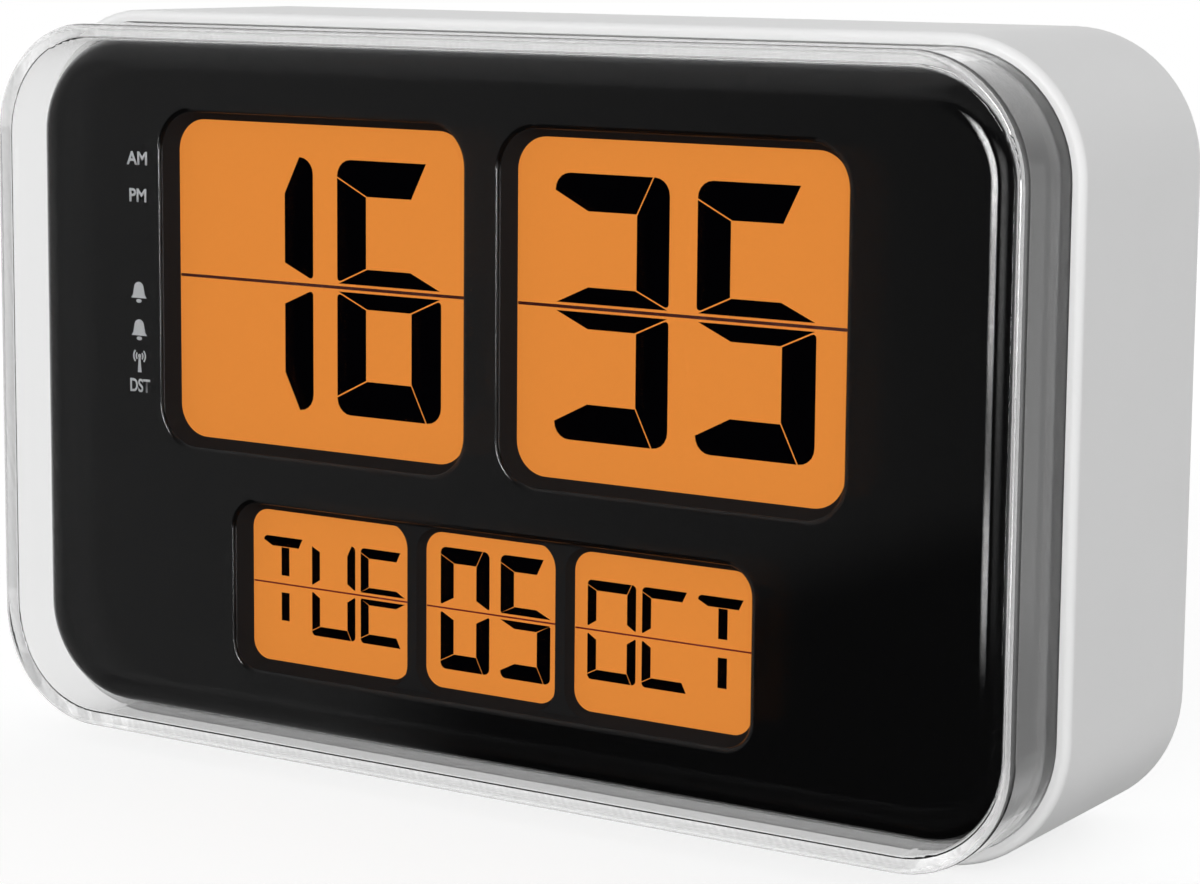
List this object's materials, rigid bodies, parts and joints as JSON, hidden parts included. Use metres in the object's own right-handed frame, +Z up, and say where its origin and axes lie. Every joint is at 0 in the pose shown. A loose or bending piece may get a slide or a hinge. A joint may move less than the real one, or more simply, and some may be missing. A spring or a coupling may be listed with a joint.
{
  "type": "radio-controlled clock",
  "caption": "Rounded table clock with a clear front cover, a black bezel with hour, minute and calendar windows, rear push buttons and a battery door.",
  "frame": {"origin": "on the table, under the middle of the clock", "axes": "+X to the right as seen from the front, +Y to the back, +Z up"},
  "size_m": [0.19, 0.056, 0.1206],
  "materials": {
    "white_plastic": "satin moulded",
    "clear_plastic": "clear polished",
    "black_gloss": "high gloss",
    "display_orange": "lit display",
    "film_white": "matt film",
    "guide_clear": "clear polished",
    "lamp_amber": "clear resin",
    "board_green": "lacquered",
    "contact_rubber": "soft",
    "frame_white": "moulded",
    "chip_black": "resin",
    "can_metal": "drawn can",
    "socket_cream": "moulded",
    "ribbon_grey": "vinyl",
    "ferrite_grey": "sintered",
    "coil_copper": "enamelled wire",
    "cell_wrap": "printed sleeve",
    "contact_nickel": "nickel plated",
    "button_grey": "moulded",
    "plunger_white": "moulded",
    "screw_steel": "zinc plated",
    "foot_rubber": "soft"
  },
  "bodies": {
    "case": {"aerial_coil": "coil_copper", "back_panel": "white_plastic", "backlight_lamps": "lamp_amber", "battery_cells": "cell_wrap", "bezel_screws": "screw_steel", "button_board": "board_green", "button_board_screws": "screw_steel", "button_switches": "chip_black", "buzzer": "chip_black", "capacitors": "can_metal", "case_screws": "screw_steel", "clear_cover": "clear_plastic", "clock_crystal": "can_metal", "contact_strip": "contact_rubber", "controller_chip": "chip_black", "dial_bezel": "black_gloss", "diffuser_sheet": "film_white", "display_frame": "frame_white", "ferrite_rod": "ferrite_grey", "frame_screws": "screw_steel", "housing": "white_plastic", "lamp_board": "board_green", "lcd_glass": "display_orange", "light_guide": "guide_clear", "main_board": "board_green", "main_board_screws": "screw_steel", "minus_contacts": "contact_nickel", "plus_contacts": "contact_nickel", "receiver_board": "board_green", "receiver_chip": "chip_black", "reflector_sheet": "film_white", "ribbon_cable": "ribbon_grey", "ribbon_sockets": "socket_cream", "rod_holders": "frame_white", "rubber_feet": "foot_rubber"},
    "battery_door": {"battery_door": "white_plastic"},
    "alarm_two_button": {"alarm_two_button": "button_grey", "alarm_two_plunger": "plunger_white"},
    "alarm_one_button": {"alarm_one_button": "button_grey", "alarm_one_plunger": "plunger_white"},
    "minus_button": {"minus_button": "button_grey", "minus_plunger": "plunger_white"},
    "plus_button": {"plus_button": "button_grey", "plus_plunger": "plunger_white"},
    "set_button": {"set_button": "button_grey", "set_plunger": "plunger_white"},
    "search_button": {"search_button": "button_grey", "search_plunger": "plunger_white"},
    "snooze_button": {"snooze_button": "button_grey", "snooze_plunger": "plunger_white"}
  },
  "joints": [
    {"name": "battery_door_tilt", "type": "hinge", "parent": "case", "child": "battery_door", "pos_m": [0, 0.0265, 0.01569], "axis": [-1, 0, 0], "range_deg": [0, 75]},
    {"name": "alarm_two_press", "type": "slide", "parent": "case", "child": "alarm_two_button", "axis": [0, -1, 0], "range_m": [0, 0.001], "stiffness_N_per_m": 900, "springref_m": -0.0005},
    {"name": "alarm_one_press", "type": "slide", "parent": "case", "child": "alarm_one_button", "axis": [0, -1, 0], "range_m": [0, 0.001], "stiffness_N_per_m": 900, "springref_m": -0.0005},
    {"name": "minus_press", "type": "slide", "parent": "case", "child": "minus_button", "axis": [0, -1, 0], "range_m": [0, 0.001], "stiffness_N_per_m": 900, "springref_m": -0.0005},
    {"name": "plus_press", "type": "slide", "parent": "case", "child": "plus_button", "axis": [0, -1, 0], "range_m": [0, 0.001], "stiffness_N_per_m": 900, "springref_m": -0.0005},
    {"name": "set_press", "type": "slide", "parent": "case", "child": "set_button", "axis": [0, -1, 0], "range_m": [0, 0.001], "stiffness_N_per_m": 900, "springref_m": -0.0005},
    {"name": "search_press", "type": "slide", "parent": "case", "child": "search_button", "axis": [0, -1, 0], "range_m": [0, 0.001], "stiffness_N_per_m": 900, "springref_m": -0.0005},
    {"name": "snooze_press", "type": "slide", "parent": "case", "child": "snooze_button", "axis": [0, -1, 0], "range_m": [0, 0.001], "stiffness_N_per_m": 900, "springref_m": -0.0005}
  ]
}
